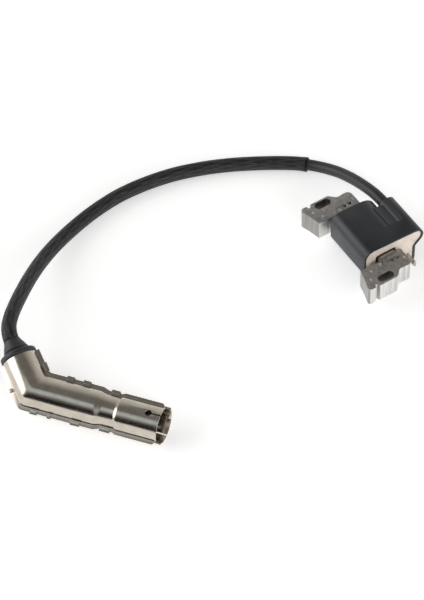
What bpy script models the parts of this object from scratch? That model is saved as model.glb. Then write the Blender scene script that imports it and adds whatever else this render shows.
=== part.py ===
"""Ignition coil of a small engine: a potted coil on a laminated U core, its spark plug lead and a
shielded elbow cap. Sizes are in millimetres in the coil's own frame: X runs along the coil's bar,
Y away from the flywheel, Z up from the top face of the laminations. MM makes them metres."""

from math import atan2, ceil, cos, degrees, pi, radians, sin, sqrt, tan

import bmesh
import bpy
from mathutils import Euler, Matrix, Vector

MM = 0.001
GAP = 0.3            # clearance between pieces that touch
OVERCUT = 1.0        # how far a cutter runs past the face that it opens

# ---- laminated core ----
LEG_INNER = 21.6     # from the coil's middle to the inner edge of each leg
STACK = 13.7         # thickness of the stack of laminations
LEG_WIDTH = 15.2
FLYWHEEL_R = 103.2   # the pole faces are ground to this radius
BAR_FRONT = 14.0     # the bar through the coil, in Y
BAR_WIDTH = 11.4
SLOT_X = 11.5        # middle of a mounting slot, from the leg's inner edge
SLOT_Y = 10.1
SLOT_LENGTH = 10.6
SLOT_WIDTH = 5.0
STAKE_R = 1.25       # the two staking holes behind each joint of bar and leg
STAKE_X = 3.2
STAKES_Y = (20.1, 23.8)
TENON_DEPTH = 3.6
TENON_Y = 16.3
TENON_HALF = (1.0, 1.6)   # half width at its root and at its end
INTERLOCKS = ((9.0, 1.4), (3.8, 5.1), (2.6, 12.4), (5.5, 27.4))
INTERLOCK_R = 1.3
INTERLOCK_DEPTH = 0.45
INTERLOCK_WIDTH = 1.2

# ---- coil case ----
CASE_FAR = -15.8
CASE_NEAR = 19.5
FLANGE_START = 8.0   # where the case widens to take the lead's end
WALL = 1.2
CASE_LEFT = 4.3
CASE_BOTTOM = -21.8
BODY_RIGHT = 35.5
FLANGE_RIGHT = 40.7
TOWER_Y = 40.2
TOWER_Z = 1.7
TOWER_R = 6.1
TOWER_FAR = -10.6
# section of the web that fills the groove between the tower and the case, as (y, z)
TOWER_WEB = ((BODY_RIGHT - 6.0, -9.0), (TOWER_Y, -9.0), (TOWER_Y, 7.2), (37.6, 6.4), (33.4, 6.7), (BODY_RIGHT - 6.0, 8.0))
# corners of the case's section as (y, z, radius), anticlockwise seen from +X
CASE_CORNERS = ((CASE_LEFT, 9.95, 6.5), (CASE_LEFT, -9.0, 5.0), (10.3, CASE_BOTTOM, 5.0))
BODY_CORNERS = CASE_CORNERS + ((BODY_RIGHT, CASE_BOTTOM, 7.5), (BODY_RIGHT, 8.1, 10.5))
FLANGE_CORNERS = CASE_CORNERS + (
    (FLANGE_RIGHT, CASE_BOTTOM, 6.0), (FLANGE_RIGHT, -6.1, 2.5), (TOWER_Y + 14.8, 6.9, TOWER_R))
POTTING_DEPTH = 0.6  # how far the resin stops short of the case's rim

# ---- bobbins and windings, each a ring round the bar ----
TUNNEL_CLEARANCE = 0.4
TUNNEL_HEADROOM = 0.5   # more above the bar, for the ground clip
BOBBIN_WALL = 0.6
PRIMARY_BUILD = 1.1
SECONDARY_WALL = 0.6
SECONDARY_BUILD = 1.2
FLANGE_HEIGHT = 1.4
FLANGE_THICK = 0.7
WINDING_FAR = -13.6
WINDING_NEAR = 17.3
SECTIONS = 5

# ---- electronics and terminals in the resin ----
BOARD_X = 10.4
BOARD_THICK = 1.0
BOARD_LOW = (32.0, -15.0)
BOARD_HIGH = (38.6, -1.0)
BLADE_Y = 36.0
BLADE_THICK = 0.8
BLADE_LOW = -15.6
BLADE_HIGH = -10.85
BLADE_TIP = 27.0
BLADE_ROOT = 14.6
BLADE_HOLE_R = 0.9
PIN_R = 0.6
CLIP_THICK = 0.4     # the spring strip that grounds the coil on the bar
CLIP_FAR = 12.6
CLIP_NEAR = 20.9
CLIP_FRONT = 14.9
CLIP_REAR = 24.9

# ---- lead ----
LEAD_R = 3.5
LEAD_END = 8.0       # where it ends inside the case
LEAD_BORE_R = LEAD_R + GAP
SLEEVE_IN_R = LEAD_R + GAP
SLEEVE_WALL = 0.55
SLEEVE_START = 70.3  # length of bare lead between the case and the sleeve
LEAD_STEP = 8.0
LEAD_BEVEL_SIDES = 3

# ---- plug cap, in its own frame: +X along the barrel from the elbow, +Z through the crown ----
CAP_ELBOW = (-16.5, -220.4, 10.2)   # where the two tubes' axes meet, in the world
CAP_HEADING = 38.6
CAP_TILT = 28.0
CAP_BEND = 49.0
SHELL_R = 10.2
WAIST_R = 9.2
END_R = 9.9
LIP_R = 10.2
SHEET = 0.45
NECK_LENGTH = 20.8
BARREL_STEPS = ((39.2, SHELL_R), (42.7, WAIST_R), (50.8, WAIST_R), (52.8, END_R), (75.0, END_R))
BARREL_LENGTH = 77.5
LOWER_EXTRA = 2.5
SEAM_LIP = 2.5
SEAM_GAP = 0.15      # from the seam plane to each half's flange
RELIEF_X = 70.2
RELIEF_R = 1.9
RELIEF_SLIT = 0.9
RELIEF_TURN = 24.0   # the relief holes stand this far round from each half's crown, both the same way
TAB_FOLD = 1.7
# lock tabs as (tube, start, end, shell radius there, side of the bend they are on)
SEAM_TABS = (
    ("barrel", 17.0, 21.5, SHELL_R, 1), ("barrel", 27.0, 31.5, SHELL_R, 1), ("barrel", 44.5, 49.5, WAIST_R, 1),
    ("barrel", 1.5, 5.5, SHELL_R, -1), ("barrel", 12.0, 14.0, SHELL_R, -1), ("barrel", 26.0, 31.5, SHELL_R, -1),
    ("barrel", 43.5, 49.5, WAIST_R, -1), ("neck", 6.8, 11.8, SHELL_R, 1), ("neck", 5.0, 7.0, SHELL_R, -1))
SEAL_START = 18.4
SEAL_LENGTH = 32.7
SEAL_RIM_R = 10.8
SEAL_MOUTH_WALL = 0.8
INSULATOR_R = 9.1
NOSE_R = 8.1
NOSE_START = 41.5
NOSE_END = 60.0
NECK_END = 18.0
LEAD_TIP = 16.0      # the lead ends this far up the neck
SCREW_R = 1.3
SCREW_HEAD_R = 2.4
RESISTOR_R = 2.5
RESISTOR_START = 3.2
RESISTOR_LENGTH = 17.0
SPRING_R = 2.1
SPRING_WIRE = 0.4
SPRING_TURNS = 5
SPRING_LENGTH = 8.0
BORE_R = 3.0
SOCKET_START = 31.5
SOCKET_R = 5.6
CLIP_R = 4.3
CLIP_WALL = 0.6
CLIP_LENGTH = 9.5

# the lead's route in the world, chosen by eye: out of the tower, down and along the ground to the cap
LEAD_ROUTE = (
    (8.0, 18.8, 23.5), (-3.0, 18.8, 23.5), (-12.0, 18.8, 23.5), (-20.0, 18.7, 23.0), (-28.0, 18.3, 21.5),
    (-37.0, 17.8, 18.8), (-46.0, 17.0, 15.6), (-55.0, 15.6, 12.2), (-63.0, 13.2, 9.2), (-70.0, 10.0, 6.9),
    (-76.0, 6.0, 5.5), (-81.5, 0.5, 4.9), (-87.5, -7.5, 4.6), (-95.0, -19.5, 4.6), (-103.0, -34.0, 4.6),
    (-110.0, -50.0, 4.6), (-115.5, -67.5, 4.6), (-118.5, -86.0, 4.6), (-119.0, -104.0, 4.6),
    (-116.5, -122.5, 4.6), (-111.2, -140.7, 5.5), (-103.6, -157.5, 8.0), (-94.1, -172.1, 12.1),
    (-83.5, -185.2, 16.6), (-74.1, -195.5, 20.2), (-66.4, -203.5, 22.7), (-59.9, -209.8, 24.0),
    (-54.2, -214.2, 23.9))
LEAD_CAP_POINTS = (34.0, 25.0, LEAD_TIP)   # the last points lie on the neck's axis

# ---- what follows from the sizes ----
POLE_Y = -sqrt(FLYWHEEL_R ** 2 - LEG_INNER ** 2)
TIP_X = LEG_INNER + LEG_WIDTH - 3.0
POLE_TIP_Y = POLE_Y + sqrt(FLYWHEEL_R ** 2 - TIP_X ** 2)
FRONT_Y = POLE_TIP_Y - 0.12
ORIGIN = Vector((0.0, (FRONT_Y + TOWER_Y + TOWER_R) / 2, CASE_BOTTOM))
BAR_LOW = (BAR_FRONT, -STACK)
BAR_HIGH = (BAR_FRONT + BAR_WIDTH, 0.0)

for item in list(bpy.data.objects):
    bpy.data.objects.remove(item, do_unlink=True)

parts = bpy.data.collections.new("ignition_coil")
cutters = bpy.data.collections.new("cutters")
for group in (parts, cutters):
    bpy.context.scene.collection.children.link(group)


# ---- helpers ----
def material(name, colour, roughness, metallic=0.0):
    made = bpy.data.materials.new(name)
    made.use_nodes = True
    shader = made.node_tree.nodes["Principled BSDF"]
    shader.inputs["Base Color"].default_value = (*colour, 1.0)
    shader.inputs["Roughness"].default_value = roughness
    shader.inputs["Metallic"].default_value = metallic
    made.diffuse_color = (*colour, 1.0)
    return made


def place(obj, look=None, parent=None, matrix=None, smooth=False):
    """Puts a part in the parts collection, or a cutter, which has no material, with the cutters."""
    (parts if look else cutters).objects.link(obj)
    if look:
        obj.data.materials.append(look)
    else:
        obj.hide_render = True
        obj.display_type = "WIRE"
    if parent:
        obj.parent = parent
    if matrix:
        obj.matrix_local = matrix
    if smooth:
        for face in obj.data.polygons:
            face.use_smooth = True
    return obj


def from_bmesh(name, bm):
    mesh = bpy.data.meshes.new(name)
    bm.to_mesh(mesh)
    bm.free()
    return bpy.data.objects.new(name, mesh)


def box(name, low, high, look=None, parent=None, turn=None):
    """A box between two corners; turn is a matrix applied after it."""
    low, high = Vector(low) * MM, Vector(high) * MM
    bm = bmesh.new()
    bmesh.ops.create_cube(bm, size=1.0)
    bmesh.ops.scale(bm, vec=high - low, verts=bm.verts)
    bmesh.ops.translate(bm, vec=(low + high) / 2, verts=bm.verts)
    return place(from_bmesh(name, bm), look, parent, turn)


def rod(name, start, end, radius, look=None, parent=None, sides=32, end_radius=None):
    """A round bar, or a cone when end_radius differs, between two points."""
    start, end = Vector(start) * MM, Vector(end) * MM
    axis = end - start
    bm = bmesh.new()
    bmesh.ops.create_cone(
        bm, cap_ends=True, segments=sides, radius1=radius * MM,
        radius2=(radius if end_radius is None else end_radius) * MM, depth=axis.length)
    turn = axis.to_track_quat("Z", "Y").to_matrix().to_4x4()
    bmesh.ops.transform(bm, matrix=Matrix.Translation((start + end) / 2) @ turn, verts=bm.verts)
    return place(from_bmesh(name, bm), look, parent, smooth=bool(look))


def arc(centre, radius, start, end, count):
    """Points on an arc, angles in degrees."""
    turns = [radians(start + (end - start) * i / count) for i in range(count + 1)]
    return [(centre[0] + radius * cos(t), centre[1] + radius * sin(t)) for t in turns]


def inset_corners(corners, inset):
    """Moves every edge of an anticlockwise outline inwards and suits the corner radii to it."""
    if not inset:
        return list(corners)
    moved = []
    for i, (x, y, radius) in enumerate(corners):
        before, here = Vector(corners[i - 1][:2]), Vector((x, y))
        after = Vector(corners[(i + 1) % len(corners)][:2])
        a, b = (here - before).normalized(), (after - here).normalized()
        left_a, left_b = Vector((-a.y, a.x)), Vector((-b.y, b.x))
        bend = a.x * b.y - a.y * b.x
        point = here + (left_a + left_b) * inset / (1 + left_a.dot(left_b))
        moved.append((point.x, point.y, max(radius - inset, 0.3) if bend > 0 else radius + inset))
    return moved


def rounded(corners, steps=6):
    """An outline through (x, y, radius) corners with tangent arcs."""
    points = []
    for i, (x, y, radius) in enumerate(corners):
        here = Vector((x, y))
        a = (Vector(corners[i - 1][:2]) - here).normalized()
        b = (Vector(corners[(i + 1) % len(corners)][:2]) - here).normalized()
        if not radius:
            points.append((x, y))
            continue
        half = a.angle(b) / 2
        middle = here + (a + b).normalized() * radius / sin(half)
        first, last = here + a * radius / tan(half), here + b * radius / tan(half)
        begin, finish = first - middle, last - middle
        sweep = (atan2(finish.y, finish.x) - atan2(begin.y, begin.x) + pi) % (2 * pi) - pi
        start = degrees(atan2(begin.y, begin.x))
        points += arc(middle, radius, start, start + degrees(sweep), steps)
    return points


def plate(name, outline, low, high, look=None, parent=None, along="Z"):
    """A flat outline given thickness from low to high along Z, or along X with the outline in YZ."""
    curve = bpy.data.curves.new(name, "CURVE")
    curve.dimensions = "2D"
    curve.fill_mode = "BOTH"
    curve.extrude = (high - low) / 2 * MM
    spline = curve.splines.new("POLY")
    spline.points.add(len(outline) - 1)
    for point, (x, y) in zip(spline.points, outline):
        point.co = (x * MM, y * MM, 0.0, 1.0)
    spline.use_cyclic_u = True
    flat = bpy.data.objects.new(name, curve)
    parts.objects.link(flat)
    bpy.context.view_layer.update()
    seen = flat.evaluated_get(bpy.context.evaluated_depsgraph_get())
    mesh = bpy.data.meshes.new_from_object(seen)
    bpy.data.objects.remove(flat)
    bm = bmesh.new()
    bm.from_mesh(mesh)
    bmesh.ops.remove_doubles(bm, verts=bm.verts, dist=1e-6)
    bmesh.ops.translate(bm, vec=(0, 0, (high + low) / 2 * MM), verts=bm.verts)
    if along == "X":
        bmesh.ops.transform(bm, matrix=Matrix(((0, 0, 1), (1, 0, 0), (0, 1, 0))).to_4x4(), verts=bm.verts)
    bmesh.ops.recalc_face_normals(bm, faces=bm.faces)
    bm.to_mesh(mesh)
    bm.free()
    return place(bpy.data.objects.new(name, mesh), look, parent)


def boolean(obj, tool, operation):
    step = obj.modifiers.new(operation.lower() + "_" + tool.name, "BOOLEAN")
    step.operation = operation
    step.solver = "EXACT"
    step.object = tool


def cut(obj, *tools):
    for tool in tools:
        boolean(obj, tool, "DIFFERENCE")


def join(obj, *tools):
    for tool in tools:
        boolean(obj, tool, "UNION")


def turned(name, profile, look=None, parent=None, start=(0, 0, 0), direction=(0, 0, 1), steps=40):
    """A turned piece from (distance, radius) pairs along direction from start, both ends on the axis."""
    bm = bmesh.new()
    ring = [bm.verts.new((radius * MM, 0.0, distance * MM)) for distance, radius in reversed(profile)]
    for upper, lower in zip(ring, ring[1:]):
        bm.edges.new((upper, lower))
    obj = from_bmesh(name, bm)
    screw = obj.modifiers.new("turn", "SCREW")
    screw.steps = screw.render_steps = steps
    screw.use_merge_vertices = True
    screw.merge_threshold = 1e-5
    screw.use_smooth_shade = bool(look)
    turn = Vector(direction).to_track_quat("Z", "Y").to_matrix().to_4x4()
    return place(obj, look, parent, Matrix.Translation(Vector(start) * MM) @ turn)


def wire(name, points, radius, look, parent=None, sides=2):
    """A round wire through points in millimetres, its ends closed."""
    curve = bpy.data.curves.new(name, "CURVE")
    curve.dimensions = "3D"
    curve.bevel_depth = radius * MM
    curve.bevel_resolution = sides
    curve.use_fill_caps = True
    spline = curve.splines.new("POLY")
    spline.points.add(len(points) - 1)
    for point, place_at in zip(spline.points, points):
        point.co = (*(Vector(place_at) * MM), 1.0)
    return place(bpy.data.objects.new(name, curve), look, parent)


def along_route(points, step):
    """Evenly spaced points on one smooth curve through the route's own points."""
    knots = [Vector(p) for p in points]
    knots = [2 * knots[0] - knots[1]] + knots + [2 * knots[-1] - knots[-2]]
    fine = []
    for a, b, c, d in zip(knots, knots[1:], knots[2:], knots[3:]):
        t1 = sqrt((b - a).length)
        t2 = t1 + sqrt((c - b).length)
        t3 = t2 + sqrt((d - c).length)
        for i in range(40):
            t = t1 + (t2 - t1) * i / 40
            ab, bc, cd = a.lerp(b, t / t1), b.lerp(c, (t - t1) / (t2 - t1)), c.lerp(d, (t - t2) / (t3 - t2))
            fine.append(ab.lerp(bc, t / t2).lerp(bc.lerp(cd, (t - t1) / (t3 - t1)), (t - t1) / (t2 - t1)))
    fine.append(knots[-2])
    lengths = [0.0]
    for a, b in zip(fine, fine[1:]):
        lengths.append(lengths[-1] + (b - a).length)
    count = ceil(lengths[-1] / step)
    spaced, at = [], 0
    for i in range(count + 1):
        wanted = lengths[-1] * i / count
        while at < len(fine) - 2 and lengths[at + 1] < wanted:
            at += 1
        share = (wanted - lengths[at]) / (lengths[at + 1] - lengths[at])
        spaced.append(fine[at].lerp(fine[at + 1], min(share, 1.0)))
    return spaced


# ---- materials ----
steel = material("lamination_steel", (0.33, 0.32, 0.31), 0.45, 0.9)
case_plastic = material("case_plastic", (0.03, 0.032, 0.036), 0.4)
resin = material("potting_resin", (0.72, 0.62, 0.5), 0.45)
bobbin_plastic = material("bobbin_plastic", (0.04, 0.04, 0.04), 0.5)
copper = material("copper_wire", (0.72, 0.33, 0.18), 0.35, 1.0)
board_green = material("circuit_board", (0.03, 0.18, 0.09), 0.5)
epoxy_black = material("moulded_epoxy", (0.02, 0.02, 0.02), 0.5)
tin = material("tinned_brass", (0.72, 0.7, 0.62), 0.3, 1.0)
brass = material("brass", (0.78, 0.6, 0.28), 0.3, 1.0)
lead_rubber = material("lead_rubber", (0.02, 0.02, 0.022), 0.55)
braid = material("braided_sleeve", (0.03, 0.03, 0.03), 0.75)
seal_rubber = material("seal_rubber", (0.02, 0.02, 0.022), 0.5)
insulator = material("cap_insulator", (0.015, 0.015, 0.015), 0.55)
nickel = material("nickel_plated_steel", (0.68, 0.65, 0.6), 0.25, 1.0)
ceramic = material("resistor_ceramic", (0.75, 0.72, 0.66), 0.4)
spring_steel = material("spring_steel", (0.6, 0.6, 0.6), 0.3, 1.0)

module = bpy.data.objects.new("module", None)
module.location = -ORIGIN * MM
parts.objects.link(module)
cap = bpy.data.objects.new("cap_swivel", None)
cap.location = Vector(CAP_ELBOW) * MM
cap.rotation_euler = (radians(CAP_TILT), 0.0, radians(CAP_HEADING))
parts.objects.link(cap)


# ---- laminated core ----
def tenon(side, grow=0.0):
    """The bar's dovetail, or with grow the pocket that takes it, at one leg."""
    root, end = TENON_HALF
    corners = [(-OVERCUT if grow else -0.5, -root - grow), (TENON_DEPTH + grow, -end - grow),
               (TENON_DEPTH + grow, end + grow), (-OVERCUT if grow else -0.5, root + grow)]
    return [(side * (LEG_INNER + x), TENON_Y + y) for x, y in corners]


def core_leg(name, side):
    tip = LEG_WIDTH - 0.1
    pole = [(x, POLE_Y + sqrt(FLYWHEEL_R ** 2 - (LEG_INNER + x) ** 2), 0) for x in (0.0, 4.0, 8.0, 12.0)]
    corners = pole + [
        (tip, POLE_TIP_Y - 1.1, 2.0), (tip, 0.9, 0.8), (tip - 1.9, 1.3, 0.3), (tip - 1.9, 2.6, 0.3),
        (LEG_WIDTH, 3.6, 0.4), (LEG_WIDTH, 16.0, 2.5), (LEG_WIDTH - 4.0, 20.0, 2.0), (11.7, 29.2, 3.2),
        (-1.6, 29.3, 1.7), (-1.6, BAR_HIGH[0] + GAP, 0.6), (0.0, BAR_HIGH[0] + GAP, 0.2)]
    outline = [(side * (LEG_INNER + x), y) for x, y in rounded(corners, 5)]
    leg = plate(name, outline, -STACK, 0.0, steel, module)
    slot_half = SLOT_LENGTH / 2 - SLOT_WIDTH / 2
    slot = arc((0, -slot_half), SLOT_WIDTH / 2, 180, 360, 10) + arc((0, slot_half), SLOT_WIDTH / 2, 0, 180, 10)
    slot = [(side * (LEG_INNER + SLOT_X) + x, SLOT_Y + y) for x, y in slot]
    cut(leg, plate("slot_of_" + name, slot, -STACK - OVERCUT, OVERCUT, None, module))
    cut(leg, plate("pocket_of_" + name, tenon(side, GAP), -STACK - OVERCUT, OVERCUT, None, module))
    for i, y in enumerate(STAKES_Y):
        x = side * (LEG_INNER + STAKE_X)
        cut(leg, rod(f"stake_{i}_of_{name}", (x, y, -STACK - OVERCUT), (x, y, OVERCUT), STAKE_R, None, module, 20))
    for i, (x, y) in enumerate(INTERLOCKS):
        x = side * (LEG_INNER + x)
        height = INTERLOCK_R - INTERLOCK_DEPTH
        ends = (x, y - INTERLOCK_WIDTH / 2, height), (x, y + INTERLOCK_WIDTH / 2, height)
        cut(leg, rod(f"interlock_{i}_of_{name}", *ends, INTERLOCK_R, None, module, 24))
    return leg


def core_bar():
    half = LEG_INNER - GAP
    outline = [(-half, BAR_LOW[0]), (half, BAR_LOW[0]), (half, BAR_HIGH[0]), (-half, BAR_HIGH[0])]
    bar = plate("core_bar", outline, -STACK, 0.0, steel, module)
    for side in (-1, 1):
        join(bar, plate(f"tenon_{side + 1}", tenon(side), -STACK, 0.0, None, module))


core_leg("core_leg_far", -1)
core_leg("core_leg_near", 1)
core_bar()


# ---- bobbins and windings ----
def ring_outline(build, radius):
    """The bar's outline grown by build, with corners of that radius."""
    (y0, z0), (y1, z1) = BAR_LOW, BAR_HIGH
    low, high = (y0 - build, z0 - build), (y1 + build, z1 + TUNNEL_HEADROOM + build)
    return rounded([(low[0], low[1], radius), (high[0], low[1], radius),
                    (high[0], high[1], radius), (low[0], high[1], radius)], 4)


def ring(name, inner, outer, start, end, look, extra=()):
    """A closed ring round the bar, from inner to outer build, with ribs given as (start, end, build)."""
    body = plate(name, ring_outline(outer, outer + 0.4), start, end, look, module, "X")
    for i, (rib_start, rib_end, build) in enumerate(extra):
        outline = ring_outline(build, build + 0.4)
        join(body, plate(f"rib_{i}_of_{name}", outline, rib_start, rib_end, None, module, "X"))
    hole = plate("hole_of_" + name, ring_outline(inner, max(inner, 0.3)), start - OVERCUT, end + OVERCUT,
                 None, module, "X")
    cut(body, hole)
    return body


TUBE_OUT = TUNNEL_CLEARANCE + BOBBIN_WALL
PRIMARY_IN = TUBE_OUT + GAP
PRIMARY_OUT = PRIMARY_IN + PRIMARY_BUILD
SECONDARY_IN = PRIMARY_OUT + GAP
SECONDARY_TUBE = SECONDARY_IN + SECONDARY_WALL
SECTION_IN = SECONDARY_TUBE + GAP / 2
SECTION_OUT = SECTION_IN + SECONDARY_BUILD
COIL_OUT = SECONDARY_TUBE + FLANGE_HEIGHT + 0.1

ring("primary_bobbin", TUNNEL_CLEARANCE, TUBE_OUT, CASE_FAR - 0.4, CASE_NEAR - 0.2, bobbin_plastic,
     [(WINDING_FAR, WINDING_FAR + 0.9, PRIMARY_OUT), (WINDING_NEAR - 0.9, WINDING_NEAR, PRIMARY_OUT)])
ring("primary_winding", PRIMARY_IN, PRIMARY_OUT, WINDING_FAR + 0.9 + GAP, WINDING_NEAR - 0.9 - GAP, copper)

pitch = (WINDING_NEAR - WINDING_FAR - FLANGE_THICK) / SECTIONS
flanges = [(WINDING_FAR + i * pitch, WINDING_FAR + i * pitch + FLANGE_THICK, COIL_OUT) for i in range(SECTIONS + 1)]
ring("secondary_bobbin", SECONDARY_IN, SECONDARY_TUBE, WINDING_FAR + 0.2, WINDING_NEAR - 0.2, bobbin_plastic,
     flanges)
for number in range(SECTIONS):
    begin = WINDING_FAR + number * pitch + FLANGE_THICK + GAP
    finish = WINDING_FAR + (number + 1) * pitch - GAP
    ring(f"secondary_winding_{number + 1}", SECTION_IN, SECTION_OUT, begin, finish, copper)


# ---- coil case and resin ----
def case_prism(name, corners, inset, start, end, look=None):
    return plate(name, rounded(inset_corners(corners, inset), 7), start, end, look, module, "X")


case = case_prism("coil_case", BODY_CORNERS, 0.0, CASE_FAR, CASE_NEAR, case_plastic)
join(case, case_prism("case_flange", FLANGE_CORNERS, 0.0, FLANGE_START, CASE_NEAR))
join(case, rod("tower", (TOWER_FAR, TOWER_Y, TOWER_Z), (FLANGE_START + 0.5, TOWER_Y, TOWER_Z), TOWER_R, None, module, 48))
join(case, plate("tower_web", TOWER_WEB, TOWER_FAR + 2.2, FLANGE_START + 0.5, None, module, "X"))
back = FLANGE_START + WALL
cut(case, case_prism("body_pocket", BODY_CORNERS, WALL, CASE_FAR + WALL, CASE_NEAR + OVERCUT))
cut(case, case_prism("flange_pocket", FLANGE_CORNERS, WALL, back, CASE_NEAR + OVERCUT))
cut(case, rod("lead_bore", (TOWER_FAR - OVERCUT, TOWER_Y, TOWER_Z), (back + 0.2, TOWER_Y, TOWER_Z), LEAD_BORE_R,
              None, module, 40))
cut(case, plate("bobbin_window", ring_outline(TUBE_OUT + GAP, TUBE_OUT + GAP), CASE_FAR - OVERCUT,
                CASE_FAR + WALL + OVERCUT, None, module, "X"))

face = CASE_NEAR - POTTING_DEPTH
fill = WALL + GAP
potting = case_prism("potting", BODY_CORNERS, fill, CASE_FAR + fill, face, resin)
join(potting, case_prism("potting_flange", FLANGE_CORNERS, fill, back + GAP, face))
cut(potting, plate("coil_pocket", ring_outline(COIL_OUT + GAP, COIL_OUT + GAP + 0.4), WINDING_FAR - GAP,
                   WINDING_NEAR + GAP, None, module, "X"))
cut(potting, plate("tube_channel", ring_outline(TUBE_OUT + GAP, TUBE_OUT + GAP), CASE_FAR, CASE_NEAR + OVERCUT,
                   None, module, "X"))

# the high-voltage pin: from the lead's end to the secondary's first turn
coil_right = BAR_HIGH[0] + COIL_OUT
pin_x = LEAD_END + 5.0
pin_path = [(LEAD_END + GAP, TOWER_Y, TOWER_Z), (pin_x, TOWER_Y, TOWER_Z), (pin_x, coil_right + 2 * GAP, TOWER_Z)]
wire("high_voltage_pin", pin_path, PIN_R, tin, module)
pin_room = PIN_R + GAP + 0.2
cut(potting, box("pin_channel", (back - OVERCUT, TOWER_Y - pin_room, TOWER_Z - pin_room),
                 (pin_x + pin_room, TOWER_Y + pin_room, TOWER_Z + pin_room), None, module))
pin_room += 0.05
cut(potting, box("pin_branch", (pin_x - pin_room, coil_right - OVERCUT, TOWER_Z - pin_room),
                 (pin_x + pin_room, TOWER_Y + pin_room, TOWER_Z + pin_room), None, module))

# the trigger board stands on edge beside the coil, its parts facing the open end
board_low = (BOARD_X, *BOARD_LOW)
board_high = (BOARD_X + BOARD_THICK, *BOARD_HIGH)
box("trigger_board", board_low, board_high, board_green, module)
front = BOARD_X + BOARD_THICK + GAP
transistor = box("switch_transistor", (front, 32.6, -8.6), (front + 2.4, 38.0, -2.0), epoxy_black, module)
trigger_chip = box("trigger_chip", (front, 32.8, -14.4), (front + 1.6, 35.2, -10.2), epoxy_black, module)
cut(potting, box("board_pocket", (BOARD_X - GAP, coil_right - OVERCUT, BOARD_LOW[1] - GAP),
                 (front + 2.4 + GAP, BOARD_HIGH[0] + GAP, BOARD_HIGH[1] + GAP), None, module))

blade_half = BLADE_THICK / 2
blade_middle = (BLADE_LOW + BLADE_HIGH) / 2
blade_outline = [(BLADE_ROOT, BLADE_LOW), (BLADE_TIP - 1.2, BLADE_LOW), (BLADE_TIP, BLADE_LOW + 1.2),
                 (BLADE_TIP, BLADE_HIGH - 1.2), (BLADE_TIP - 1.2, BLADE_HIGH), (BLADE_ROOT, BLADE_HIGH)]
blade = plate("kill_terminal", blade_outline, -blade_half, blade_half, tin, module)
blade.matrix_local = Matrix.Translation((0, BLADE_Y * MM, 0)) @ Matrix.Rotation(pi / 2, 4, "X")
hole_x = BLADE_TIP - 3.2
cut(blade, rod("blade_hole", (hole_x, BLADE_Y - 2, blade_middle), (hole_x, BLADE_Y + 2, blade_middle),
               BLADE_HOLE_R, None, module, 20))
cut(potting, box("blade_channel", (front + 2.0, BLADE_Y - blade_half - GAP, BLADE_LOW - GAP),
                 (CASE_NEAR + OVERCUT, BLADE_Y + blade_half + GAP, BLADE_HIGH + GAP), None, module))

clip_low, clip_high = GAP, GAP + CLIP_THICK
corners = [(CLIP_FAR, CLIP_FRONT, 1.0), (CLIP_NEAR, CLIP_FRONT, 1.0), (CLIP_NEAR, CLIP_REAR, 1.0),
           (CLIP_FAR, CLIP_REAR, 1.0)]
plate("ground_clip", rounded(corners, 3), clip_low, clip_high, tin, module)


# ---- lead and sleeve ----
cap_matrix = Matrix.Translation(Vector(CAP_ELBOW)) @ Euler(cap.rotation_euler).to_matrix().to_4x4()
neck_axis = Vector((-cos(radians(CAP_BEND)), sin(radians(CAP_BEND)), 0.0))
route = [Vector(p) for p in LEAD_ROUTE] + [cap_matrix @ (neck_axis * t) for t in LEAD_CAP_POINTS]
lead_line = along_route(route, LEAD_STEP)
wire("lead_cable", lead_line, LEAD_R, lead_rubber, None, LEAD_BEVEL_SIDES)


def sleeve_line():
    """The stretch of the lead's own line that the sleeve covers, up to the cap's seal."""
    start = LEAD_END - TOWER_FAR + SLEEVE_START
    stop = cap_matrix @ (neck_axis * (SEAL_LENGTH + 1.5 * GAP))
    covered, passed = [], 0.0
    for a, b in zip(lead_line, lead_line[1:]):
        length = (b - a).length
        if passed <= start < passed + length:
            covered.append(a.lerp(b, (start - passed) / length))
        elif passed > start:
            covered.append(a)
        reached = (stop - a).dot((b - a).normalized())
        if covered and reached < length and (stop - a).length < 2 * LEAD_STEP:
            covered.append(a.lerp(b, reached / length))
            break
        passed += length
    for end in (1, -2):
        if (covered[end] - covered[end + (-1 if end > 0 else 1)]).length < LEAD_STEP / 4:
            covered.pop(end)
    return covered


def sleeve():
    """A tube of thin braid round the lead: an open circle carried along the line, then given its wall."""
    line = sleeve_line()
    bm = bmesh.new()
    sides = 12
    radius = (SLEEVE_IN_R + SLEEVE_WALL / 2) * MM
    up = Vector((0, 0, 1))
    last = None
    for i, point in enumerate(line):
        ahead = (line[min(i + 1, len(line) - 1)] - line[max(i - 1, 0)]).normalized()
        if i == len(line) - 1:
            ahead = -(cap_matrix.to_3x3() @ neck_axis).normalized()
        across = ahead.cross(up).normalized()
        over = across.cross(ahead)
        turns = [2 * pi * k / sides for k in range(sides)]
        here = [bm.verts.new(point * MM + (across * cos(t) + over * sin(t)) * radius) for t in turns]
        if last:
            for k in range(sides):
                bm.faces.new((last[k], last[(k + 1) % sides], here[(k + 1) % sides], here[k]))
        last = here
    bmesh.ops.recalc_face_normals(bm, faces=bm.faces)
    obj = place(from_bmesh("braided_sleeve", bm), braid, smooth=True)
    wall = obj.modifiers.new("wall", "SOLIDIFY")
    wall.thickness = SLEEVE_WALL * MM
    wall.offset = 0.0
    wall.use_even_offset = True


sleeve()


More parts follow.
